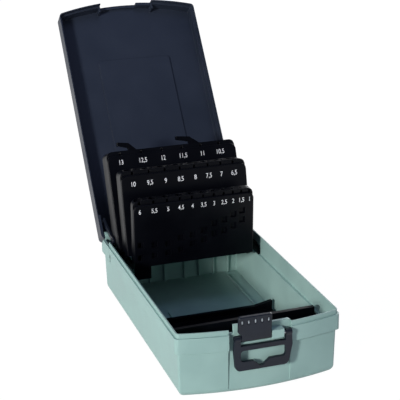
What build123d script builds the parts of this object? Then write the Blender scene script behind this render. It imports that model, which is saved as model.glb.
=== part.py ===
from build123d import *
from math import atan2, cos, degrees, radians, sin, sqrt
import os

# A drill case: a tray with a hinged lid, three drill holders that fan out on one axle,
# a front latch and a bail handle on one pin. Millimetres, +Z up, +Y to the rear.
# The origin is the centre of the tray's underside. The lid stands open, as the case is used.

# ---- case ----
case_width = 110.0
side_length = 185.0  # straight sides, before the bowed front
front_bow = 7.5  # rise of the bowed front beyond the sides
plan_radius = 3.0
tray_height = 41.5
lid_height = 13.2
tray_wall = 2.0
tray_floor = 1.3
belt_height = 10.5
belt_step = 1.85  # the belt stands this much outside the tray's body
body_draft = 0.9
bottom_radius = 5.0
tongue_height = 3.0
tongue_wall = 0.9
tongue_setback = 20.5  # the tongue ends this far before the rear face
lid_wall = 2.2
lid_plate = 2.0
lid_edge_radius = 2.0
rim_clearance = 0.3
seat_gap = 0.3  # between the shut lid's rim and the tray's

# ---- lid hinge ----
hinge_inset = 1.9  # hinge axis, in front of the rear face
hinge_rise = 0.85  # hinge axis, above the tray's rim
lid_opening = 127.0
ear_radius = 3.0
ear_width = 3.4
ear_inset = 2.7  # the lid's side walls pass outside the ears
swing_radius = 4.7  # room around the hinge axis for the corners that swing past each other
knuckle_radius = 2.4
knuckle_width = 7.5
hinge_pin_radius = 1.2
rear_drop = 4.0  # the rear wall is lower, for the lid to swing over it
skirt_gap = 0.9
running_gap = 0.05
part_gap = 0.4

# ---- label field on the lid ----
label_width = 54.0
label_length = 104.0
label_depth = 1.0

# ---- front pocket, latch and handle ----
pocket_left = -22.0
pocket_right = 19.2
pocket_depth = 1.2
pocket_wall = 2.2
crest_left = -18.4  # raised wall behind the latch
crest_right = 20.3
crest_step = 3.5
crest_high = 46.9
crest_low = 45.6
crest_radius = 3.0
notch_gap = 0.6
notch_left = -20.9  # the lid's notch is wider and higher than the crest, for the latch
notch_high = 50.7
notch_low = 46.8
notch_start = 1.0  # in front of the bow
notch_reach = 5.0  # how far the lid's notch reaches past its front wall
notch_cheek = 1.2
groove_end_gap = 10.0
front_pin_proud = 0.6  # pin axis, in front of the bow's foremost point
front_pin_z = 39.2
front_pin_radius = 1.0
latch_left = -17.5
latch_right = 4.3
latch_foot_left = -15.2
latch_plate = 2.2
latch_knuckle = 2.0
latch_ajar = 5.0  # the latch stands this far from shut
grip_slots = 5
grip_pitch = 4.35
grip_width = 1.3
grip_height = 3.0
grip_centre_z = 51.2
catch_depth = 1.2
catch_height = 1.0
catch_z = 52.1
block_left = 4.8
block_right = 12.9
handle_left = -19.6
handle_right = 18.2
handle_bottom = 17.6
handle_thickness = 2.4
handle_arm = 4.0
handle_bar = 5.9
handle_bulge = 0.5  # the arms widen towards the hand bar
handle_bulge_z = 31.0
handle_taper_left = 0.6  # and the bar's ends draw in
handle_taper_right = 2.2
crossbar_bottom = 31.2
crossbar_height = 3.0
hang_notch_x = -1.8
hang_notch_radius = 3.0
hang_notch_half = 5.5  # half the notch's width at its mouth
hang_notch_depth = 3.9
handle_corner = 3.5
window_corner = 2.0
ridge_height = 1.2
ridge_reach = 2.9

# ---- drill holders ----
axle_setback = 25.9  # axle, in front of the rear face
axle_z = 34.0
axle_radius = 1.5
arm_thickness = 1.8
arm_radius = 3.5
arm_reach = 12.0
arm_edge = 0.6  # lower edge of an arm where it meets its block's back, behind the axle
plate_thickness = 1.6
holder_corner = 4.5
socket_clearance = 0.2
socket_floor = 2.0
holder_gap = 0.4
groove_width = 0.8
groove_depth = 1.0
plate_drop = 3.1  # the number plates end below the blocks' tops
slit_width = 1.5
slit_top = 0.9  # slits through the blocks, from this far below the top
slit_height = 2.9
front_face_height = 3.6  # number face of the front holder above the datum, folded
front_thickness = 7.6
front_reach = 53.5
front_side_gap = 6.9  # between a holder's end and the axle bracket
middle_thickness = 13.6
middle_reach = 64.3
middle_side_gap = 4.5
rear_thickness = 16.0
rear_reach = 76.3
rear_side_gap = 2.2
foot = 3.7  # lower end of the holders, in front of the axle
front_opening = 88.0
middle_opening = 102.0
rear_opening = 112.0
front_sizes = [6, 5.5, 5, 4.5, 4, 3.5, 3, 2.5, 2, 1.5, 1]
middle_sizes = [10, 9.5, 9, 8.5, 8, 7.5, 7, 6.5]
rear_sizes = [13, 12.5, 12, 11.5, 11, 10.5]
front_margins = [4.5, 3.0]  # centres of the first and last sockets, from the holder's ends
middle_margins = [8.8, 9.4]
rear_margins = [10.0, 12.4]
window_size = 4.4
window_upper = [20.6, 19.6, 19.2, 22.7, 23.7, 26.1, 30.3, 32.2, 35.3, 37.4]  # above the axle
window_lower = [10.8, 11.6, 12.3, 13.4, 16.9, 18.7, 22.4, 23.7, 26.6, 30.5]
foot_tab_width = 12.0
foot_tab_length = 9.5
finger_lengths = [15.0, 18.5]
finger_rise = 7.4
finger_width = 4.0
finger_thickness = 2.4
finger_places = [-22.0, 27.0]

# ---- lift links ----
link_lid_y = -12.35  # link pin on the lid, from the lid hinge, lid shut
link_lid_z = 2.193
link_row_y = -13.117  # link pin on the rear holder, from the axle, folded
link_row_z = 4.158
link_run_y = 24.48  # between the two holes of a link
link_run_z = 6.744
link_thickness = 1.4
link_pin_radius = 1.2
link_eye = 2.4
link_slack = 0.8  # the lower hole is this much larger in radius, to take the holders' own path
link_big_eye = 3.2

# ---- axle brackets ----
bracket_ahead = 23.6  # in front of the axle
bracket_behind = 5.9
bracket_height = 7.0
bracket_thickness = 1.6
tab_width = 3.0
tab_height = 5.3

# ---- tip rest ----
rest_plate = 1.6
rest_rib = 3.0
rest_rear_run = 58.0  # rear wall of the rest, in front of the axle
rest_rear_height = 7.8
rest_ramp_height = 10.4
rest_ramp_run = 13.1  # the ramp of the rear wall starts this far from its right end
rest_middle_run = 98.2
rest_middle_height = 17.0
rest_front_setback = 26.5  # front wall of the rest, behind the foot of the bow
rest_front_height = 36.4
rest_front_rise = 1.0
rest_right_gap = 5.4  # between the rest and the side walls
rest_left_gap = 4.0
rest_ledge = 3.5

# ---- ribs in the tray ----
rib_places = [7.85, 19.5, 31.15, 42.8]
rib_width = 1.1
rib_depth = 3.0
floor_rib_inset = 14.7  # from the case's side
floor_rib_ahead = 45.1  # in front of the axle
floor_rib_setback = 12.5  # before the rear face
floor_relief = 1.2
pad_half_width = 23.0
pad_front_setback = 42.5  # field's front edge, behind the foot of the bow
pad_rear_setback = 60.0  # its rear edge, before the rear face

# ---- worked out from the sizes above ----
half_width = case_width / 2
rear_y = side_length / 2
bow_radius = (half_width**2 + front_bow**2) / (2 * front_bow)
bow_centre_y = -rear_y - front_bow + bow_radius
belt_z = tray_height - belt_height
lid_rim = tray_height + seat_gap
lid_top = lid_rim + lid_height
hinge_y = rear_y - hinge_inset
hinge_z = tray_height + hinge_rise
hinge_axis = Axis((0, hinge_y, hinge_z), (1, 0, 0))
axle_y = rear_y - axle_setback
front_pin_y = -rear_y - front_bow - front_pin_proud
holder_axis = Axis((0, axle_y, axle_z), (1, 0, 0))
front_pin_axis = Axis((0, front_pin_y, front_pin_z), (1, 0, 0))
inner_half = half_width - tray_wall
tongue_end = rear_y - tongue_setback
rear_wall_top = tray_height - rear_drop
ear_outer = half_width - ear_inset
ear_inner = ear_outer - ear_width
knuckle_outer = ear_inner - part_gap
pocket_inset = belt_step + pocket_depth
front_offset = axle_z - front_face_height
middle_offset = front_offset - front_thickness - holder_gap
rear_offset = middle_offset - middle_thickness - holder_gap
bracket_inner = inner_half - bracket_thickness
bracket_front = axle_y - bracket_ahead
bracket_rear = axle_y + bracket_behind
front_half_width = bracket_inner - front_side_gap
middle_half_width = bracket_inner - middle_side_gap
rear_half_width = bracket_inner - rear_side_gap
link_inner = rear_half_width + 0.3
lid_pin_y = hinge_y + link_lid_y
lid_pin_z = hinge_z + link_lid_z
holder_pin_y = axle_y + link_row_y
holder_pin_z = axle_z + link_row_z
rest_rear_y = axle_y - rest_rear_run
rest_middle_y = axle_y - rest_middle_run
rest_front_y = -rear_y + rest_front_setback
rest_right = inner_half - rest_right_gap
rest_left = -inner_half + rest_left_gap
floor_rib_x = half_width - floor_rib_inset
floor_rib_front = axle_y - floor_rib_ahead
floor_rib_rear = rear_y - floor_rib_setback
pad_front = -rear_y + pad_front_setback
pad_rear = rear_y - pad_rear_setback


def bow_y(x, inset=0.0):
    """Y of the bowed front at x, for an outline moved inwards by inset."""
    return bow_centre_y - sqrt((bow_radius - inset) ** 2 - x**2)


def case_outline(inset, radius):
    """Plan of the case, moved inwards by inset, with rounded corners."""
    side = half_width - inset
    with BuildSketch() as outline:
        with BuildLine():
            front = ThreePointArc(
                (-side, bow_y(side, inset)), (0, bow_y(0, inset)), (side, bow_y(side, inset))
            )
            Polyline(front @ 1, (side, rear_y - inset), (-side, rear_y - inset), front @ 0)
        make_face()
        fillet(outline.vertices(), radius=radius)
    return outline.sketch


def side_profile(points):
    """A closed outline in the YZ plane."""
    with BuildSketch() as profile:
        with BuildLine():
            Polyline(*points, close=True)
        make_face()
    return profile.sketch


def yz_plane(x):
    """A plane across the case at x, with its own x along Y and its own y along Z."""
    return Plane(origin=(x, 0, 0), x_dir=(0, 1, 0), z_dir=(1, 0, 0))


def xz_plane(y):
    """An upright plane at y that faces the front, with its own x along X."""
    return Plane(origin=(0, y, 0), x_dir=(1, 0, 0), z_dir=(0, -1, 0))


def put_disc(x, y, z, radius, length, mode=Mode.ADD):
    """A cylinder along X, from x to x + length."""
    with BuildSketch(yz_plane(x)) as disc:
        with Locations((y, z)):
            Circle(radius)
    extrude(disc.sketch, amount=length, mode=mode)


def put_box(x0, x1, y0, y1, z0, z1, mode=Mode.ADD):
    """A block between two corners."""
    with Locations(((x0 + x1) / 2, (y0 + y1) / 2, (z0 + z1) / 2)):
        Box(x1 - x0, y1 - y0, z1 - z0, mode=mode)


def save(name, part, axis=None, angle=0.0):
    """Turns a finished piece to its place at rest, and writes it."""
    placed = part if axis is None else part.rotate(axis, angle)
    placed.label = name
    export_step(placed, f"parts/{name}.step")


os.makedirs("parts", exist_ok=True)
body_taper = degrees(atan2(body_draft, belt_z))

# ---- tray ----
# wall behind the pocket, with the crest that stands in the lid's notch
with BuildSketch(xz_plane(bow_y(0) + pocket_inset + 2 * pocket_wall)) as crest_face:
    with BuildLine():
        Polyline(
            (pocket_left - pocket_wall, bottom_radius),
            (pocket_right + pocket_wall, bottom_radius),
            (pocket_right + pocket_wall, tray_height),
            (crest_right, tray_height),
            (crest_right, crest_low),
            (crest_step, crest_low),
            (crest_step, crest_high),
            (crest_left, crest_high),
            (crest_left, tray_height),
            (pocket_left - pocket_wall, tray_height),
            close=True,
        )
    make_face()
    fillet(crest_face.vertices().group_by(Axis.Y)[-2].sort_by(Axis.X)[-1], radius=crest_radius)
with BuildSketch(Plane.XY) as pocket_back:
    with BuildLine():
        outer_bow = ThreePointArc(
            (pocket_left - pocket_wall, bow_y(pocket_left - pocket_wall, pocket_inset)),
            (0, bow_y(0, pocket_inset)),
            (pocket_right + pocket_wall, bow_y(pocket_right + pocket_wall, pocket_inset)),
        )
        inner_bow = ThreePointArc(
            (pocket_right + pocket_wall, bow_y(pocket_right, pocket_inset + pocket_wall)),
            (0, bow_y(0, pocket_inset + pocket_wall)),
            (pocket_left - pocket_wall, bow_y(pocket_left, pocket_inset + pocket_wall)),
        )
        Line(outer_bow @ 1, inner_bow @ 0)
        Line(inner_bow @ 1, outer_bow @ 0)
    make_face()
crest = extrude(crest_face.sketch, amount=3 * pocket_wall) & extrude(
    pocket_back.sketch, amount=lid_top
)

with BuildPart() as tray:
    with BuildSketch(Plane.XY.offset(belt_z)):
        add(case_outline(belt_step, plan_radius - belt_step / 2))
    extrude(amount=-belt_z, taper=body_taper)
    fillet(tray.faces().sort_by(Axis.Z)[0].edges(), radius=bottom_radius)
    with BuildSketch(Plane.XY.offset(belt_z)):
        add(case_outline(0, plan_radius))
    extrude(amount=belt_height)
    # tongue inside the rim, on the front and the sides
    with BuildSketch(Plane.XY.offset(tray_height)):
        add(case_outline(tray_wall - tongue_wall, plan_radius))
        with Locations((0, tongue_end + side_length / 2)):
            Rectangle(case_width, side_length, mode=Mode.SUBTRACT)
    extrude(amount=tongue_height)
    # the pocket for latch and handle, cut through belt and body
    with BuildSketch():
        with BuildLine():
            pocket_front = ThreePointArc(
                (pocket_left, bow_y(pocket_left, pocket_inset)),
                (0, bow_y(0, pocket_inset)),
                (pocket_right, bow_y(pocket_right, pocket_inset)),
            )
            Polyline(
                pocket_front @ 1,
                (pocket_right, bow_y(0) - pocket_inset),
                (pocket_left, bow_y(0) - pocket_inset),
                pocket_front @ 0,
            )
        make_face()
    extrude(amount=lid_top, mode=Mode.SUBTRACT)
    # cavity, wider in the belt
    with BuildSketch(Plane.XY.offset(belt_z)):
        add(case_outline(belt_step + tray_wall, plan_radius / 2))
    extrude(amount=-(belt_z - tray_floor), taper=body_taper, mode=Mode.SUBTRACT)
    with BuildSketch(Plane.XY.offset(belt_z)):
        add(case_outline(tray_wall, plan_radius / 2))
    extrude(amount=belt_height + tongue_height, mode=Mode.SUBTRACT)
    add(crest)
    # low rear wall between the hinge ears
    put_box(-ear_inner, ear_inner, rear_y - 2 * belt_step - tray_wall, rear_y + 1,
            rear_wall_top, lid_top, Mode.SUBTRACT)
    for side in (-1, 1):
        corner_x = ear_outer if side > 0 else -half_width - 1
        put_disc(corner_x, hinge_y, hinge_z, swing_radius, ear_inset + 1, Mode.SUBTRACT)
        ear_x = ear_inner if side > 0 else -ear_outer
        put_disc(ear_x, hinge_y, hinge_z, ear_radius, ear_width)
        put_box(ear_x, ear_x + ear_width, hinge_y - ear_radius, rear_y, rear_wall_top - 2, hinge_z)
        put_box(ear_x, ear_x + ear_width, rear_y, rear_y + ear_radius,
                tray_height - ear_radius, lid_top, Mode.SUBTRACT)
        put_disc(ear_x, hinge_y, hinge_z, hinge_pin_radius, ear_width, Mode.SUBTRACT)
        # slot that the axle bracket's tab snaps into
        slot_x = inner_half - 1 if side > 0 else -half_width - 1
        put_box(slot_x, slot_x + tray_wall + 2, axle_y - tab_width / 2, axle_y + tab_width / 2,
                axle_z - tab_height / 2, axle_z + tab_height / 2, Mode.SUBTRACT)
        for rib_x in rib_places:
            inner_rear = rear_y - belt_step - tray_wall
            # a rib is rooted inside the wall, and further in below, where the outer corner is round
            put_box(side * rib_x - rib_width / 2, side * rib_x + rib_width / 2,
                    inner_rear - rib_depth, inner_rear - 0.7 * body_draft, tray_floor, bottom_radius)
            put_box(side * rib_x - rib_width / 2, side * rib_x + rib_width / 2,
                    inner_rear - rib_depth, inner_rear + tray_wall / 4, bottom_radius, belt_z)
    # pin block and ridge in the pocket
    pocket_face = bow_y(0, pocket_inset)
    put_box(block_left, block_right, front_pin_y - 0.9 * latch_knuckle, pocket_face + pocket_wall,
            front_pin_z - latch_knuckle - part_gap, front_pin_z + latch_knuckle + 1)
    ridge_z = crossbar_bottom + crossbar_height + part_gap + 0.3
    put_box(latch_foot_left, block_right, pocket_face - ridge_reach, pocket_face + pocket_wall,
            ridge_z, ridge_z + ridge_height)
    put_disc(pocket_left, front_pin_y, front_pin_z, front_pin_radius,
             pocket_right - pocket_left, Mode.SUBTRACT)
    # raised field and long ribs on the floor
    with BuildSketch(Plane.XY.offset(tray_floor)):
        with Locations((0, (pad_front + pad_rear) / 2)):
            RectangleRounded(2 * pad_half_width, pad_rear - pad_front, plan_radius)
    extrude(amount=floor_relief)
    for side in (-1, 1):
        put_box(side * floor_rib_x - rib_width / 2, side * floor_rib_x + rib_width / 2,
                floor_rib_front, floor_rib_rear, tray_floor - 0.5, tray_floor + floor_relief)
save("tray", tray.part)

# ---- lid, built shut and then swung open ----
with BuildPart() as lid:
    with BuildSketch(Plane.XY.offset(lid_rim)):
        add(case_outline(0, plan_radius))
    extrude(amount=lid_height)
    fillet(lid.faces().sort_by(Axis.Z)[-1].edges(), radius=lid_edge_radius)
    with BuildSketch(Plane.XY.offset(lid_rim)):
        add(case_outline(lid_wall, plan_radius / 2))
    extrude(amount=lid_height - lid_plate, mode=Mode.SUBTRACT)
    # rebate over the tray's tongue
    rebate_inset = tray_wall - tongue_wall - rim_clearance
    with BuildSketch(Plane.XY.offset(lid_rim)):
        add(case_outline(rebate_inset, plan_radius))
        with Locations((0, tongue_end + 2 + side_length / 2)):
            Rectangle(case_width, side_length, mode=Mode.SUBTRACT)
    extrude(amount=tongue_height + 0.3, mode=Mode.SUBTRACT)
    # label field: sunk outside, raised inside
    with BuildSketch(Plane.XY.offset(lid_top - lid_plate - label_depth)):
        RectangleRounded(label_width + 2 * lid_plate, label_length + 2 * lid_plate, plan_radius)
    extrude(amount=label_depth)
    with BuildSketch(Plane.XY.offset(lid_top)):
        RectangleRounded(label_width, label_length, plan_radius / 2)
    extrude(amount=-label_depth, mode=Mode.SUBTRACT)
    # notch for crest and latch
    notch_y = bow_y(0) - notch_start
    put_box(notch_left, block_right - 3.8, notch_y, notch_y + notch_reach - notch_start + lid_wall,
            tray_height, notch_high, Mode.SUBTRACT)
    put_box(crest_step, crest_right + notch_gap, notch_y, notch_y + notch_reach - notch_start + lid_wall,
            tray_height, notch_low, Mode.SUBTRACT)
    for end_x in (notch_left - notch_cheek, crest_right + notch_gap):
        put_box(end_x, end_x + notch_cheek, bow_y(end_x) + lid_wall / 2, bow_y(end_x) + 2.5 * lid_wall,
                tray_height + tongue_height + 0.5, lid_top - lid_plate)
    # groove that the latch's teeth catch in
    with BuildSketch(Plane.XY.offset(catch_z - catch_height / 2 - 0.3)):
        with Locations((0, bow_y(0))):
            Rectangle(2 * (half_width - groove_end_gap), 2 * (catch_depth + 0.3))
        with Locations(((latch_right + half_width) / 2, bow_y(0))):
            Rectangle(half_width - latch_right - 1, 4 * catch_depth, mode=Mode.SUBTRACT)
        with Locations(((latch_left - half_width) / 2, bow_y(0))):
            Rectangle(half_width + latch_left - 1, 4 * catch_depth, mode=Mode.SUBTRACT)
    extrude(amount=catch_height + 0.6, mode=Mode.SUBTRACT)
    # rear skirt that closes the low rear wall, and the hinge knuckles
    skirt_half = knuckle_outer
    put_box(-skirt_half, skirt_half, rear_y - lid_wall, rear_y,
            rear_wall_top + skirt_gap, tray_height + 1)
    for side in (-1, 1):
        clear_x = ear_inner - part_gap if side > 0 else -ear_outer - part_gap
        put_disc(clear_x, hinge_y, hinge_z, swing_radius, ear_width + 2 * part_gap, Mode.SUBTRACT)
        knuckle_x = knuckle_outer - knuckle_width if side > 0 else -knuckle_outer
        put_disc(knuckle_x, hinge_y, hinge_z, knuckle_radius, knuckle_width)
        bore_x = knuckle_x + 0.6 if side > 0 else knuckle_x
        put_disc(bore_x, hinge_y, hinge_z, hinge_pin_radius + running_gap,
                 knuckle_width - 0.6, Mode.SUBTRACT)
        pin_x = link_inner if side > 0 else -(half_width - lid_wall / 2)
        put_disc(pin_x, lid_pin_y, lid_pin_z, link_pin_radius,
                 half_width - lid_wall / 2 - link_inner)
save("lid", lid.part, hinge_axis, -lid_opening)

# ---- hinge pins ----
for name, side in (("hinge_pin_left", -1), ("hinge_pin_right", 1)):
    pin_length = ear_width + part_gap + knuckle_width - 1.4
    pin_x = ear_outer - 0.3 - pin_length if side > 0 else -ear_outer + 0.3
    with BuildPart() as hinge_pin:
        put_disc(pin_x, hinge_y, hinge_z, hinge_pin_radius, pin_length)
        chamfer(hinge_pin.edges().filter_by(GeomType.CIRCLE), length=0.25)
    save(name, hinge_pin.part)


# ---- drill holders, built folded flat and then raised ----
def socket_places(sizes, half, margins):
    """X of each socket: neighbours are half a drill, a wall and half a drill apart."""
    drills = sum(sizes) - (sizes[0] + sizes[-1]) / 2
    spacing = (2 * half - sum(margins) - drills) / (len(sizes) - 1)
    places = [-half + margins[0]]
    for wide, narrow in zip(sizes, sizes[1:]):
        places.append(places[-1] + wide / 2 + spacing + narrow / 2)
    return places


def holder_body(sizes, places, half, offset, thickness, reach):
    """Socket block with two arms to the axle; sockets open at the end that points forwards."""
    face_z = axle_z - offset
    back_z = face_z + thickness
    block_z = face_z + plate_thickness
    drill_z = (block_z + back_z) / 2
    with BuildPart() as body:
        put_box(-half, half, axle_y - reach, axle_y - foot - part_gap, block_z, back_z)
        mouth = body.faces().sort_by(Axis.Y)[0]
        fillet(mouth.edges().filter_by(Axis.Z), radius=holder_corner)
        for side in (-1, 1):
            groove_x = half - groove_depth if side > 0 else -half
            put_box(groove_x, groove_x + groove_depth, axle_y - reach, axle_y - foot,
                    block_z, block_z + groove_width, Mode.SUBTRACT)
            arm_x = half - arm_thickness if side > 0 else -half
            # the arm's lower edge rises to the foot of the block
            back_f = max(axle_z - back_z, 0.1)
            block_f = axle_z - block_z
            with BuildSketch(yz_plane(arm_x)):
                with BuildLine():
                    Polyline(
                        (axle_y + arm_radius, axle_z),
                        (axle_y + arm_edge, axle_z - back_f),
                        (axle_y - foot - part_gap, block_z),
                        (axle_y - arm_reach, block_z),
                        (axle_y - arm_reach, axle_z - back_f),
                        (axle_y - foot + part_gap, axle_z - back_f),
                        (axle_y - foot + part_gap, axle_z),
                        close=True,
                    )
                make_face()
            extrude(amount=arm_thickness)
            put_disc(arm_x, axle_y, axle_z, arm_radius, arm_thickness)
            put_disc(arm_x, axle_y, axle_z, axle_radius + running_gap, arm_thickness,
                     Mode.SUBTRACT)
        for size, x in zip(sizes, places):
            socket = size / 2 + socket_clearance / 2
            with BuildSketch(xz_plane(axle_y - foot - part_gap - socket_floor)):
                with Locations((x, drill_z)):
                    Circle(socket)
            extrude(amount=reach, mode=Mode.SUBTRACT)
            slit_y = axle_y - reach + slit_top
            put_box(x - slit_width / 2, x + slit_width / 2, slit_y, slit_y + slit_height,
                    block_z - 1, back_z + 1, Mode.SUBTRACT)
    return body.part


def number_plate(half, offset, reach, windows=(), tab=False):
    """Front plate that carries the size numbers."""
    face_z = axle_z - offset
    plate_end = axle_y - reach + plate_drop
    with BuildPart() as plate:
        put_box(-half, half, plate_end, axle_y - foot, face_z, face_z + plate_thickness)
        mouth = plate.faces().sort_by(Axis.Y)[0]
        fillet(mouth.edges().filter_by(Axis.Z), radius=holder_corner)
        if tab:
            put_box(-half, -half + foot_tab_width, axle_y - foot, axle_y - foot + foot_tab_length,
                    face_z, face_z + plate_thickness)
        for x, y in windows:
            put_box(x - window_size / 2, x + window_size / 2, y - window_size / 2,
                    y + window_size / 2, face_z - 1, face_z + plate_thickness + 1, Mode.SUBTRACT)
        front_edges = plate.faces().sort_by(Axis.Z)[0].outer_wire().edges()
        chamfer(front_edges.group_by(Axis.Y)[0], length=plate_thickness / 4)
    return plate.part


front_places = socket_places(front_sizes, front_half_width, front_margins)
middle_places = socket_places(middle_sizes, middle_half_width, middle_margins)
rear_places = socket_places(rear_sizes, rear_half_width, rear_margins)

window_places = []
for x, upper, lower in zip(front_places, window_upper, window_lower):
    window_places.append((x, axle_y - upper))
    window_places.append((x, axle_y - lower))

front_block = holder_body(
    front_sizes, front_places, front_half_width, front_offset, front_thickness, front_reach
)
save("front_holder", front_block, holder_axis, -front_opening)
front_face = number_plate(front_half_width, front_offset, front_reach, window_places, tab=True)
save("front_number_plate", front_face, holder_axis, -front_opening)

middle_block = holder_body(
    middle_sizes, middle_places, middle_half_width, middle_offset, middle_thickness, middle_reach
)
save("middle_holder", middle_block, holder_axis, -middle_opening)
middle_face = number_plate(middle_half_width, middle_offset, middle_reach)
save("middle_number_plate", middle_face, holder_axis, -middle_opening)

rear_block = holder_body(
    rear_sizes, rear_places, rear_half_width, rear_offset, rear_thickness, rear_reach
)
rear_back_z = axle_z - rear_offset + rear_thickness
with BuildPart() as rear_holder:
    add(rear_block)
    # link pins on both sides
    for side in (-1, 1):
        pin_x = rear_half_width if side > 0 else -rear_half_width - link_thickness - 0.5
        put_disc(pin_x, holder_pin_y, holder_pin_z, link_pin_radius, link_thickness + 0.5)
    # spring fingers that rise past the mouth along the back
    mouth_y = axle_y - rear_reach
    for finger_x, finger_length in zip(finger_places, finger_lengths):
        with BuildSketch(Plane.XY.offset(rear_back_z - finger_width / 2)):
            with BuildLine():
                Polyline(
                    (finger_x, mouth_y + 2),
                    (finger_x, mouth_y),
                    (finger_x - finger_length * 0.45, mouth_y - finger_rise * 0.85),
                    (finger_x - finger_length, mouth_y - finger_rise),
                    (finger_x - finger_length, mouth_y - finger_rise + finger_thickness),
                    (finger_x - finger_length * 0.5, mouth_y - finger_rise * 0.4),
                    (finger_x - finger_length * 0.35, mouth_y + 2),
                    close=True,
                )
            make_face()
        extrude(amount=finger_width)
save("rear_holder", rear_holder.part, holder_axis, -rear_opening)
rear_face = number_plate(rear_half_width, rear_offset, rear_reach)
save("rear_number_plate", rear_face, holder_axis, -rear_opening)

# ---- axle and its brackets on the side walls ----
with BuildPart() as axle:
    put_disc(-inner_half + 0.2, axle_y, axle_z, axle_radius, 2 * inner_half - 0.4)
    chamfer(axle.edges().filter_by(GeomType.CIRCLE), length=0.3)
save("holder_axle", axle.part)

for name, side in (("axle_bracket_left", -1), ("axle_bracket_right", 1)):
    plate_x = bracket_inner if side > 0 else -inner_half
    tab_x = inner_half if side > 0 else -half_width + 0.4
    with BuildPart() as bracket:
        with BuildSketch(yz_plane(plate_x)) as bracket_side:
            with BuildLine():
                Polyline(
                    (bracket_front, belt_z),
                    (bracket_rear, belt_z),
                    (bracket_rear, belt_z + bracket_height),
                    (bracket_front + bracket_height, belt_z + bracket_height),
                    (bracket_front, belt_z + bracket_height / 2),
                    close=True,
                )
            make_face()
            fillet(bracket_side.vertices().group_by(Axis.Y)[-1], radius=1.0)
        extrude(amount=bracket_thickness)
        put_box(tab_x, tab_x + tray_wall - 0.4, axle_y - tab_width / 2 + 0.1,
                axle_y + tab_width / 2 - 0.1, axle_z - tab_height / 2 + 0.1,
                axle_z + tab_height / 2 - 0.1)
        bore_x = bracket_inner if side > 0 else -inner_half + 0.2
        put_disc(bore_x, axle_y, axle_z, axle_radius, bracket_thickness - 0.2, Mode.SUBTRACT)
    save(name, bracket.part)

# ---- lift links between lid and rear holder ----
link_angle = radians(lid_opening)
open_pin_y = hinge_y + link_lid_y * cos(link_angle) + link_lid_z * sin(link_angle)
open_pin_z = hinge_z - link_lid_y * sin(link_angle) + link_lid_z * cos(link_angle)
for name, side in (("lift_link_left", -1), ("lift_link_right", 1)):
    link_x = link_inner if side > 0 else -link_inner - link_thickness
    low_y = open_pin_y - link_run_y
    low_z = open_pin_z - link_run_z
    with BuildPart() as link:
        with BuildSketch(yz_plane(link_x)):
            with Locations((open_pin_y, open_pin_z)):
                Circle(link_eye)
            with Locations((low_y, low_z)):
                Circle(link_big_eye)
            with BuildLine():
                Polyline(
                    (open_pin_y, open_pin_z - link_eye * 0.8),
                    (open_pin_y, open_pin_z + link_eye * 0.8),
                    (low_y, low_z + link_eye * 0.8),
                    (low_y, low_z - link_eye * 0.8),
                    close=True,
                )
            make_face()
            with Locations((open_pin_y, open_pin_z)):
                Circle(link_pin_radius + running_gap, mode=Mode.SUBTRACT)
            with Locations((low_y, low_z)):
                Circle(link_pin_radius + link_slack, mode=Mode.SUBTRACT)
        extrude(amount=link_thickness)
    save(name, link.part)

# ---- tip rest: a floor plate with three cross walls ----
with BuildPart() as tip_rest:
    rest_front = bow_y(rest_left, belt_step + tray_wall) + 4
    put_box(rest_left, rest_right, rest_front, rest_rear_y, tray_floor + floor_relief,
            tray_floor + floor_relief + rest_plate)
    rest_floor = tray_floor + floor_relief
    rear_y0 = rest_rear_y - rest_rib
    with BuildSketch(xz_plane(rest_rear_y)):
        with BuildLine():
            Polyline(
                (rest_left, rest_floor),
                (rest_right, rest_floor),
                (rest_right, rest_ramp_height),
                (rest_right - rest_ramp_run, rest_rear_height),
                (rest_left, rest_rear_height),
                close=True,
            )
        make_face()
    extrude(amount=rest_rib)
    put_box(rest_left, rest_right, rest_middle_y - rest_rib, rest_middle_y, rest_floor,
            rest_middle_height)
    with BuildSketch(xz_plane(rest_front_y)):
        with BuildLine():
            Polyline(
                (rest_left, rest_floor),
                (rest_right + 1, rest_floor),
                (rest_right + 1, rest_front_height - rest_ledge),
                (rest_right, rest_front_height - rest_ledge),
                (rest_right, rest_front_height + rest_front_rise),
                (rest_left, rest_front_height),
                close=True,
            )
        make_face()
    extrude(amount=rest_rib)
save("tip_rest", tip_rest.part)

# ---- front pin, latch and handle ----
with BuildPart() as front_pin:
    put_disc(handle_left + 0.4, front_pin_y, front_pin_z, front_pin_radius,
             handle_right - handle_left - 0.8)
    chamfer(front_pin.edges().filter_by(GeomType.CIRCLE), length=0.2)
save("front_pin", front_pin.part)

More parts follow.
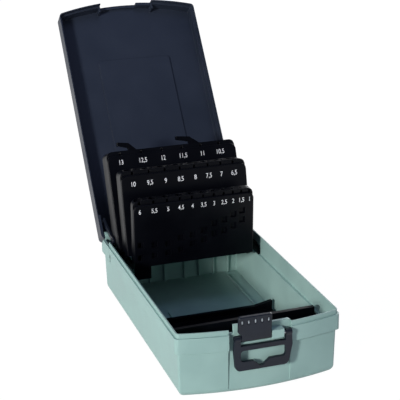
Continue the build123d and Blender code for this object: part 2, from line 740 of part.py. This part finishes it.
with BuildPart() as latch:
    latch_inner = front_pin_y + 0.2
    with BuildSketch(xz_plane(latch_inner)) as latch_face:
        with BuildLine():
            Polyline(
                (latch_foot_left, front_pin_z),
                (latch_right, front_pin_z),
                (latch_right, lid_top),
                (latch_left, lid_top),
                (latch_left, front_pin_z + 2.5 * latch_knuckle),
                (latch_foot_left, front_pin_z + 1.5 * latch_knuckle),
                close=True,
            )
        make_face()
        fillet(latch_face.vertices().group_by(Axis.Y)[-1], radius=1.2)
    extrude(amount=latch_plate)
    top_front = latch.faces().sort_by(Axis.Y)[0].edges().group_by(Axis.Z)[-1]
    chamfer(top_front, length=0.5)
    put_disc(latch_foot_left, front_pin_y, front_pin_z, latch_knuckle,
             latch_right - latch_foot_left)
    # teeth that catch under the lid's groove
    put_box(latch_left + 1, latch_right - 1, latch_inner - 0.5, latch_inner + catch_depth,
            catch_z - catch_height / 2, catch_z + catch_height / 2)
    grip_centre_x = (latch_left + latch_right) / 2
    for index in range(grip_slots):
        slot_x = grip_centre_x + (index - (grip_slots - 1) / 2) * grip_pitch
        with BuildSketch(xz_plane(latch_inner + catch_depth + 1)):
            with Locations((slot_x, grip_centre_z)):
                SlotOverall(grip_height, grip_width, rotation=90)
        extrude(amount=catch_depth + latch_plate + 2, mode=Mode.SUBTRACT)
    put_disc(latch_foot_left, front_pin_y, front_pin_z, front_pin_radius + running_gap,
             latch_right - latch_foot_left, Mode.SUBTRACT)
save("latch", latch.part, front_pin_axis, latch_ajar)

with BuildPart() as handle:
    with BuildSketch(xz_plane(front_pin_y + handle_thickness / 2)) as handle_face:
        with BuildLine():
            Polyline(
                (handle_left, front_pin_z),
                (handle_left - handle_bulge, handle_bulge_z),
                (handle_left + handle_taper_left, handle_bottom),
                (handle_right - handle_taper_right, handle_bottom),
                (handle_right + handle_bulge, handle_bulge_z),
                (handle_right, front_pin_z),
                close=True,
            )
        make_face()
        fillet(handle_face.vertices().group_by(Axis.Y)[0], radius=handle_corner)
        for eye_x in (handle_left + handle_arm / 2, handle_right - handle_arm / 2):
            with Locations((eye_x, front_pin_z)):
                Rectangle(handle_arm, 2 * latch_knuckle)
        inner_left = handle_left + handle_arm
        inner_right = handle_right - handle_arm
        inner_top = crossbar_bottom + crossbar_height
        with Locations(((inner_left + inner_right) / 2, inner_top + lid_top / 2)):
            Rectangle(inner_right - inner_left, lid_top, mode=Mode.SUBTRACT)
        bar_top = handle_bottom + handle_bar
        with Locations(((inner_left + inner_right) / 2, (bar_top + crossbar_bottom) / 2)):
            RectangleRounded(inner_right - inner_left, crossbar_bottom - bar_top, window_corner,
                             mode=Mode.SUBTRACT)
        # hang notch: a round bottom with flanks that lean outwards
        notch_centre = bar_top - hang_notch_depth + hang_notch_radius
        with Locations((hang_notch_x, notch_centre)):
            Circle(hang_notch_radius, mode=Mode.SUBTRACT)
        with BuildLine():
            Polyline(
                (hang_notch_x - hang_notch_half, bar_top + 0.1),
                (hang_notch_x - 0.8 * hang_notch_radius, notch_centre - 0.6 * hang_notch_radius),
                (hang_notch_x + 0.8 * hang_notch_radius, notch_centre - 0.6 * hang_notch_radius),
                (hang_notch_x + hang_notch_half, bar_top + 0.1),
                close=True,
            )
        make_face(mode=Mode.SUBTRACT)
        with Locations(((inner_left + inner_right) / 2, crossbar_bottom + crossbar_height / 2)):
            Rectangle(inner_right - inner_left, crossbar_height)
    extrude(amount=handle_thickness)
    for eye_x in (handle_left, handle_right - handle_arm):
        put_disc(eye_x, front_pin_y, front_pin_z, latch_knuckle, handle_arm)
    outer_rim = handle.faces().sort_by(Axis.Y)[0].outer_wire().edges()
    chamfer(outer_rim.group_by(Axis.Z)[0], length=0.4)
    put_disc(handle_left, front_pin_y, front_pin_z, front_pin_radius + running_gap,
             handle_arm, Mode.SUBTRACT)
    put_disc(handle_right - handle_arm, front_pin_y, front_pin_z,
             front_pin_radius + running_gap, handle_arm, Mode.SUBTRACT)
save("carry_handle", handle.part)
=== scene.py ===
import bpy, math
import numpy as np
from mathutils import Matrix, Vector


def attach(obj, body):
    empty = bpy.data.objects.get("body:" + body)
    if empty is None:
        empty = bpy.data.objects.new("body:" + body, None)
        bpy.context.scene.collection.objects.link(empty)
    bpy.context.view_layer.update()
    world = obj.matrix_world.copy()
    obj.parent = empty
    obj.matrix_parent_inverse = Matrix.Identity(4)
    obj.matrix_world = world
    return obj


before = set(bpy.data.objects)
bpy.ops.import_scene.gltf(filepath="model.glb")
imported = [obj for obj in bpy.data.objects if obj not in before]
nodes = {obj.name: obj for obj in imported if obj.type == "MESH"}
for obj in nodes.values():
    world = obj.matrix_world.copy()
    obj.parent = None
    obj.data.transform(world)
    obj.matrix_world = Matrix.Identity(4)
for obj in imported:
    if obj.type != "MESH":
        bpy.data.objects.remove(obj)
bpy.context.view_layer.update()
print("frame loaded:", len(nodes), "nodes")

perMetre = 1000  # the dictionaries of pieces are in mm, Blender is in metres


def linearColor(hexText):
    # sRGB hex to linear light: the power curve above 0.04045, the straight line below it
    parts = [int(hexText.lstrip("#")[i:i + 2], 16) / 255 for i in (0, 2, 4)]
    return [((c + 0.055) / 1.055) ** 2.4 if c > 0.04045 else c / 12.92 for c in parts] + [1.0]


def addNode(tree, kind, settings=None, inputs=None, links=None):
    # one shader node with its settings, its input values and what feeds it
    node = tree.nodes.new(kind)
    for key, value in (settings or {}).items():
        setattr(node, key, value)
    for key, value in (inputs or {}).items():
        node.inputs[key].default_value = value
    for key, socket in (links or {}).items():
        tree.links.new(socket, node.inputs[key])
    return node


def startMaterial(name):
    material = bpy.data.materials.new(name)
    material.use_nodes = True
    material.node_tree.nodes.clear()
    return material, material.node_tree


def addNoise(tree, place, scale, detail, roughness=0.5):
    return addNode(tree, "ShaderNodeTexNoise", links={"Vector": place},
                   inputs={"Scale": scale, "Detail": detail, "Roughness": roughness}).outputs["Fac"]


def addRamp(tree, value, low, high):
    # low and high are pairs of a position and a colour
    ramp = addNode(tree, "ShaderNodeValToRGB", links={"Fac": value})
    for element, (position, color) in zip(ramp.color_ramp.elements, (low, high)):
        element.position, element.color = position, linearColor(color)
    return ramp.outputs["Color"]


def objectPlace(tree):
    return addNode(tree, "ShaderNodeTexCoord").outputs["Object"]


def finishMaterial(tree, inputs, links):
    shader = addNode(tree, "ShaderNodeBsdfPrincipled", inputs=inputs, links=links)
    addNode(tree, "ShaderNodeOutputMaterial", links={"Surface": shader.outputs["BSDF"]})


# Injection-moulded plastics. light and dark are two close colours that drift over the piece.
# drift, grain and edge are lengths in metres: grain is the spark-eroded texture, 0.1 mm on the real case
# and drawn coarser to show, and edge is the radius that light sees on a sharp edge.
plastics = {
    # polypropylene, pale grey-green, eroded mould: soft broad sheen, a little uneven where the wall cooled
    "trayPolypropyleneMoulded": dict(light="#9FBEB6", dark="#94B3AC", drift=0.030, grain=0.0006,
                                     bump=0.10, rough=(0.42, 0.56), specular=0.40, edge=0.0004),
    # the same plastic in blue-black: the grain catches the light as a faint frost
    "lidPolypropyleneMoulded": dict(light="#272E3C", dark="#212835", drift=0.040, grain=0.0006,
                                    bump=0.12, rough=(0.40, 0.54), specular=0.42, edge=0.0004),
    # ABS from a polished mould: deep black that stays black, with thin bright edges
    "holderAbsMoulded": dict(light="#06070D", dark="#030409", drift=0.020, grain=0.0008,
                             bump=0.05, rough=(0.30, 0.40), specular=0.13, edge=0.0003),
    # nylon: slightly waxy, charcoal
    "latchNylonMoulded": dict(light="#171D28", dark="#121722", drift=0.012, grain=0.0005,
                              bump=0.08, rough=(0.38, 0.50), specular=0.30, edge=0.0003),
    # the same nylon on the latch's grip ribs, smoother and glossier, painted pale grey-white: a painted
    # highlight that stands for the glints on the ribs
    "latchNylonPaintedHighlight": dict(light="#B4BCC0", dark="#9AA3A8", drift=0.004, grain=0.0005,
                           bump=0.03, rough=(0.24, 0.34), specular=0.50, edge=0.0002),
}
plasticIor = 1.5
moulding = {  # what all the plastics share
    "driftDetail": 3.0, "driftBand": (0.35, 0.65), "roughBand": (0.3, 0.7),
    "grainDetail": 2.0, "grainRoughness": 0.6, "grainDepth": 0.00012, "bevelSamples": 6,
}


def makePlastic(name, spec):
    material, tree = startMaterial(name)
    place = objectPlace(tree)
    drift = addNoise(tree, place, 1 / spec["drift"], moulding["driftDetail"])
    darkAt, lightAt = moulding["driftBand"]
    color = addRamp(tree, drift, (darkAt, spec["dark"]), (lightAt, spec["light"]))
    grain = addNoise(tree, place, 1 / spec["grain"], moulding["grainDetail"], moulding["grainRoughness"])
    smoothAt, roughAt = moulding["roughBand"]
    rough = addNode(tree, "ShaderNodeMapRange", links={"Value": drift},
                    inputs={"From Min": smoothAt, "From Max": roughAt,
                            "To Min": spec["rough"][0], "To Max": spec["rough"][1]})
    rounded = addNode(tree, "ShaderNodeBevel", {"samples": moulding["bevelSamples"]}, {"Radius": spec["edge"]})
    bump = addNode(tree, "ShaderNodeBump", links={"Height": grain, "Normal": rounded.outputs["Normal"]},
                   inputs={"Strength": spec["bump"], "Distance": moulding["grainDepth"]})
    finishMaterial(tree, {"IOR": plasticIor, "Specular IOR Level": spec["specular"]},
                   {"Base Color": color, "Roughness": rough.outputs["Result"], "Normal": bump.outputs["Normal"]})
    return material


# drawn wire, which lies along X: across it the scratches repeat far more often than along it
steel = {"color": "#B9BCBF", "scratches": (60, 4000, 4000), "detail": 2.0, "rough": (0.22, 0.42)}


def makeSteel(name):  # gives the pins a soft streaked glint along their length
    material, tree = startMaterial(name)
    stretch = addNode(tree, "ShaderNodeMapping", inputs={"Scale": steel["scratches"]},
                      links={"Vector": objectPlace(tree)})
    scratches = addNoise(tree, stretch.outputs["Vector"], 1.0, steel["detail"])
    rough = addNode(tree, "ShaderNodeMapRange", links={"Value": scratches},
                    inputs={"To Min": steel["rough"][0], "To Max": steel["rough"][1]})
    finishMaterial(tree, {"Base Color": linearColor(steel["color"]), "Metallic": 1.0},
                   {"Roughness": rough.outputs["Result"]})
    return material


ink = {"thin": (0.25, "#E4E6EA"), "full": (0.5, "#FBFBFB"), "patches": 900.0, "detail": 2.0, "rough": 0.55}


def makeInk(name):  # pad-printed white ink: matt, a little uneven where the pad laid it thin
    material, tree = startMaterial(name)
    patches = addNoise(tree, objectPlace(tree), ink["patches"], ink["detail"])
    color = addRamp(tree, patches, ink["thin"], ink["full"])
    finishMaterial(tree, {"Roughness": ink["rough"], "IOR": plasticIor}, {"Base Color": color})
    return material


materials = {name: makePlastic(name, spec) for name, spec in plastics.items()}
materials["drawnSteel"] = makeSteel("drawnSteel")
materials["padPrintedInk"] = makeInk("padPrintedInk")

finishes = {
    "trayPolypropyleneMoulded": ["tray"],
    "lidPolypropyleneMoulded": ["lid"],
    "holderAbsMoulded": ["front_holder", "middle_holder", "rear_holder", "front_number_plate",
                         "middle_number_plate", "rear_number_plate", "axle_bracket_left",
                         "axle_bracket_right", "tip_rest"],
    "latchNylonMoulded": ["latch", "carry_handle", "lift_link_left", "lift_link_right"],
    "drawnSteel": ["hinge_pin_left", "hinge_pin_right", "holder_axle", "front_pin"],
}
for name, users in finishes.items():
    for user in users:
        piece = nodes[user]
        piece.data.materials.clear()
        piece.data.materials.append(materials[name])
print("materials set")


def addPiece(name, points, faces, material, body, smooth=False):
    # a new piece from arrays in mm, riding on a body
    mesh = bpy.data.meshes.new(name)
    mesh.from_pydata((points / perMetre).tolist(), [], faces.tolist())
    mesh.update()
    mesh.polygons.foreach_set("use_smooth", [smooth] * len(mesh.polygons))
    mesh.materials.append(materials[material])
    piece = bpy.data.objects.new(name, mesh)
    bpy.context.collection.objects.link(piece)
    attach(piece, body)
    return piece


numbers = {  # lengths in mm
    "axle": (0.0, 66.6, 34.0),  # the holders turn about it
    "narrow": 0.80,  # share of a glyph's width that the narrow figures keep
    "bold": 0.004,  # outline grown by this share of the type size
    "lift": 0.06,  # ink off the plate's face
    "capShare": 0.70,  # height of a digit in a type size of 1
    "curveSteps": 4,
    "rows": {  # opening angle, face distance from the axle, height of the numbers, each size with its x
        "front": dict(angle=88, offset=30.4, height=45.5, digit=3.3, texts=[
            ("6", -40.0), ("5,5", -29.4), ("5", -19.4), ("4,5", -10.0), ("4", -1.5), ("3,5", 6.8),
            ("3", 14.6), ("2,5", 22.1), ("2", 28.9), ("1,5", 35.4), ("1", 41.3)]),
        "middle": dict(angle=102, offset=22.4, height=54.6, digit=3.4, texts=[
            ("10", -38.1), ("9,5", -26.0), ("9", -14.3), ("8,5", -3.1), ("8", 8.0), ("7,5", 18.2),
            ("7", 27.9), ("6,5", 37.5)]),
        "rear": dict(angle=112, offset=8.4, height=67.8, digit=3.4, texts=[
            ("13", -39.2), ("12,5", -22.7), ("12", -7.2), ("11,5", 8.1), ("11", 22.9), ("10,5", 37.0)]),
    },
}


def glyphShape(text):
    # one number as flat triangles, centred across, one unit of type high
    curve = bpy.data.curves.new("glyph", "FONT")
    curve.body, curve.align_x, curve.align_y = text, "CENTER", "CENTER"
    curve.size, curve.offset, curve.resolution_u = 1.0, numbers["bold"], numbers["curveSteps"]
    holder = bpy.data.objects.new("glyph", curve)
    mesh = bpy.data.meshes.new_from_object(holder)
    mesh.calc_loop_triangles()
    flat = np.empty(len(mesh.vertices) * 3)
    mesh.vertices.foreach_get("co", flat)
    triangles = np.empty(len(mesh.loop_triangles) * 3, dtype=np.int32)
    mesh.loop_triangles.foreach_get("vertices", triangles)
    bpy.data.objects.remove(holder)
    bpy.data.meshes.remove(mesh)
    bpy.data.curves.remove(curve)
    flat = flat.reshape(-1, 3)
    flat[:, 0] -= (flat[:, 0].min() + flat[:, 0].max()) / 2
    return flat, triangles.reshape(-1, 3)


def makeNumbers(row, spec):
    # a glyph's width runs along X and its height up the plate; the plate's own normal lifts it off the face
    angle = math.radians(spec["angle"])
    up = np.array([0, -math.cos(angle), math.sin(angle)])
    out = np.array([0, -math.sin(angle), -math.cos(angle)])
    base = np.array(numbers["axle"]) + up * spec["height"] + out * (spec["offset"] + numbers["lift"])
    size = spec["digit"] / numbers["capShare"]
    points, faces, count = [], [], 0
    for text, x in spec["texts"]:
        flat, triangles = glyphShape(text)
        across = (x + flat[:, :1] * size * numbers["narrow"]) * np.array([1, 0, 0])
        points.append(base + across + flat[:, 1:2] * size * up)
        faces.append(triangles + count)
        count += len(flat)
    points, faces = np.vstack(points), np.vstack(faces)
    first = points[faces[0]]
    if np.cross(first[1] - first[0], first[2] - first[0]).dot(out) < 0:
        faces = faces[:, ::-1]
    addPiece(row + "Numbers", points, faces, "padPrintedInk", row + "_row")


for row, spec in numbers["rows"].items():
    makeNumbers(row, spec)
print("numbers placed")


grip = {  # mm: a rounded rib stands in each of the latch's slots; drawn upright, then leant out with the latch
    "first": -15.3, "pitch": 4.35, "count": 5, "centreZ": 51.2, "halfWidth": 0.64, "halfHeight": 1.5,
    "backY": -101.4, "tipY": -102.85, "pin": (-100.6, 39.2), "ajar": 5.0,
    "around": 24, "rings": 6,
}


def gripRib():
    # half an ellipsoid: ring by ring its outline shrinks with the cosine of a quarter turn while its front
    # comes forward with the sine; the last ring closes on a pole and the back is one flat fan
    around, rings = grip["around"], grip["rings"]
    turn = np.linspace(0, 2 * math.pi, around, endpoint=False)
    rise = np.linspace(0, math.pi / 2, rings + 1)[:-1, None]
    x = np.cos(rise) * np.cos(turn) * grip["halfWidth"]
    z = np.cos(rise) * np.sin(turn) * grip["halfHeight"] + grip["centreZ"]
    y = grip["backY"] + np.sin(rise) * (grip["tipY"] - grip["backY"]) + 0 * x
    shell = np.stack([x, y, z], axis=-1).reshape(-1, 3)
    pole, foot = len(shell), len(shell) + 1
    points = np.vstack([shell, [[0, grip["tipY"], grip["centreZ"]], [0, grip["backY"], grip["centreZ"]]]])

    here = np.arange(around)
    after = (here + 1) % around
    low = np.arange(rings - 1)[:, None] * around
    lowHere, lowAfter = low + here, low + after
    last = (rings - 1) * around
    faces = np.vstack([
        np.stack([lowHere, lowAfter, lowAfter + around], axis=-1).reshape(-1, 3),
        np.stack([lowHere, lowAfter + around, lowHere + around], axis=-1).reshape(-1, 3),
        np.stack([last + here, last + after, np.full(around, pole)], axis=-1),
        np.stack([after, here, np.full(around, foot)], axis=-1)])
    return points, faces


def makeGripRibs():
    points, faces = gripRib()
    copies = range(grip["count"])
    faces = np.vstack([faces + n * len(points) for n in copies])
    points = np.vstack([points + np.array([grip["first"] + n * grip["pitch"], 0, 0]) for n in copies])
    lean, (pinY, pinZ) = math.radians(grip["ajar"]), grip["pin"]
    dy, dz = points[:, 1] - pinY, points[:, 2] - pinZ
    points[:, 1] = pinY + dy * math.cos(lean) - dz * math.sin(lean)
    points[:, 2] = pinZ + dy * math.sin(lean) + dz * math.cos(lean)
    # the ribs take the pale nylon whose grey-white colour is a painted highlight
    ribs = addPiece("latchGripRibs", points, faces, "latchNylonPaintedHighlight", "latch_body", smooth=True)


makeGripRibs()
print("grip ribs placed")


studio = {  # metres; glow is the share of the paper that is plain white to the camera and in reflections
    "floor": "#DCDEDE", "floorReach": 4, "floorRough": 0.9, "floorSpecular": 0.1,
    "glow": 0.9, "paper": 1.08, "world": 0.20, "worldColor": "#C2D0F0", "aim": (0, 0.03, 0.05),
}
lamps = {
    "keyLamp": dict(place=(-1.38, -1.10, 0.58), size=0.3, watts=28.5, color="#FFFFFF"),
    "sideLamp": dict(place=(-1.7, 0.1, 0.45), size=0.8, watts=2, color="#FFFFFF"),
    "backLamp": dict(place=(1.3, 1.45, 0.75), size=0.9, watts=26, color="#FFFFFF"),
    "fillLamp": dict(place=(0.9, -1.5, 0.25), size=0.7, watts=0.8, color="#FFFFFF"),
    "topLamp": dict(place=(0.1, -0.3, 1.6), size=0.8, watts=1.5, color="#A0B0F4"),
}


def makeFloor():
    # grey paper that takes the shadow; where the camera or a reflection looks at it, mostly plain white
    reach = studio["floorReach"]
    mesh = bpy.data.meshes.new("studioFloor")
    corners = [(-reach, -reach, 0), (reach, -reach, 0), (reach, reach, 0), (-reach, reach, 0)]
    mesh.from_pydata(corners, [], [(0, 1, 2, 3)])
    floor = bpy.data.objects.new("studioFloor", mesh)
    bpy.context.collection.objects.link(floor)
    material, tree = startMaterial("studioPaper")
    paper = addNode(tree, "ShaderNodeBsdfPrincipled", inputs={
        "Base Color": linearColor(studio["floor"]), "Roughness": studio["floorRough"],
        "Specular IOR Level": studio["floorSpecular"]})
    rays = addNode(tree, "ShaderNodeLightPath")
    looked = addNode(tree, "ShaderNodeMath", {"operation": "MAXIMUM"},
                     links={0: rays.outputs["Is Camera Ray"], 1: rays.outputs["Is Glossy Ray"]})
    seen = addNode(tree, "ShaderNodeMath", {"operation": "MULTIPLY"}, {1: studio["glow"]},
                   {0: looked.outputs[0]})
    white = addNode(tree, "ShaderNodeEmission", inputs={"Color": (1, 1, 1, 1), "Strength": studio["paper"]})
    mix = addNode(tree, "ShaderNodeMixShader",
                  links={0: seen.outputs[0], 1: paper.outputs[0], 2: white.outputs[0]})
    addNode(tree, "ShaderNodeOutputMaterial", links={"Surface": mix.outputs[0]})
    mesh.materials.append(material)


def makeWorld():
    world = bpy.data.worlds.new("studioWorld")
    bpy.context.scene.world = world
    world.use_nodes = True
    tree = world.node_tree
    tree.nodes.clear()
    rays = addNode(tree, "ShaderNodeLightPath")
    seen = addNode(tree, "ShaderNodeMath", {"operation": "MAXIMUM"},
                   links={0: rays.outputs["Is Camera Ray"], 1: rays.outputs["Is Transmission Ray"]})
    light = addNode(tree, "ShaderNodeBackground",
                    inputs={"Color": linearColor(studio["worldColor"]), "Strength": studio["world"]})
    white = addNode(tree, "ShaderNodeBackground", inputs={"Color": (1, 1, 1, 1), "Strength": 1.0})
    mix = addNode(tree, "ShaderNodeMixShader",
                  links={0: seen.outputs[0], 1: light.outputs[0], 2: white.outputs[0]})
    addNode(tree, "ShaderNodeOutputWorld", links={"Surface": mix.outputs[0]})


def makeLamp(name, spec):
    lamp = bpy.data.lights.new(name, "AREA")
    lamp.shape, lamp.size, lamp.energy = "DISK", spec["size"], spec["watts"]
    lamp.color = linearColor(spec["color"])[:3]
    holder = bpy.data.objects.new(name, lamp)
    holder.location = spec["place"]
    aim = Vector(studio["aim"]) - Vector(spec["place"])
    holder.rotation_euler = aim.to_track_quat("-Z", "Y").to_euler()
    bpy.context.collection.objects.link(holder)


makeFloor()
makeWorld()
for name, spec in lamps.items():
    makeLamp(name, spec)


camera = {  # solved from the photograph's outlines: metres and radians, focal length and centre in its pixels
    "place": (-0.25125, -0.74404, 0.37299), "yaw": 0.31872, "pitch": 0.34154, "roll": -0.01407,
    "focalPixels": 1234.525, "centre": (202.169, 200.717), "pictureSize": 400, "sensor": 36,
    "nearest": 0.05, "farthest": 20,
}


def makeCamera():
    # yaw turns towards +X, pitch looks down, roll turns the frame about the line of sight
    yaw, pitch, roll = camera["yaw"], camera["pitch"], camera["roll"]
    ahead = Vector((math.sin(yaw) * math.cos(pitch), math.cos(yaw) * math.cos(pitch), -math.sin(pitch)))
    right = Vector((math.cos(yaw), -math.sin(yaw), 0))
    up = right.cross(ahead)
    rightTurned = math.cos(roll) * right + math.sin(roll) * up
    upTurned = -math.sin(roll) * right + math.cos(roll) * up
    size = camera["pictureSize"]
    lens = bpy.data.cameras.new("photoCamera")
    lens.sensor_width = camera["sensor"]
    lens.lens = camera["focalPixels"] * camera["sensor"] / size
    lens.shift_x = (size / 2 - camera["centre"][0]) / size
    lens.shift_y = (camera["centre"][1] - size / 2) / size
    lens.clip_start, lens.clip_end = camera["nearest"], camera["farthest"]
    view = bpy.data.objects.new("photoCamera", lens)
    turn = Matrix((rightTurned, upTurned, -ahead)).transposed().to_4x4()
    view.matrix_world = Matrix.Translation(camera["place"]) @ turn
    bpy.context.collection.objects.link(view)
    bpy.context.scene.camera = view


makeCamera()
bpy.context.scene.view_settings.view_transform = "Standard"
print("studio ready")
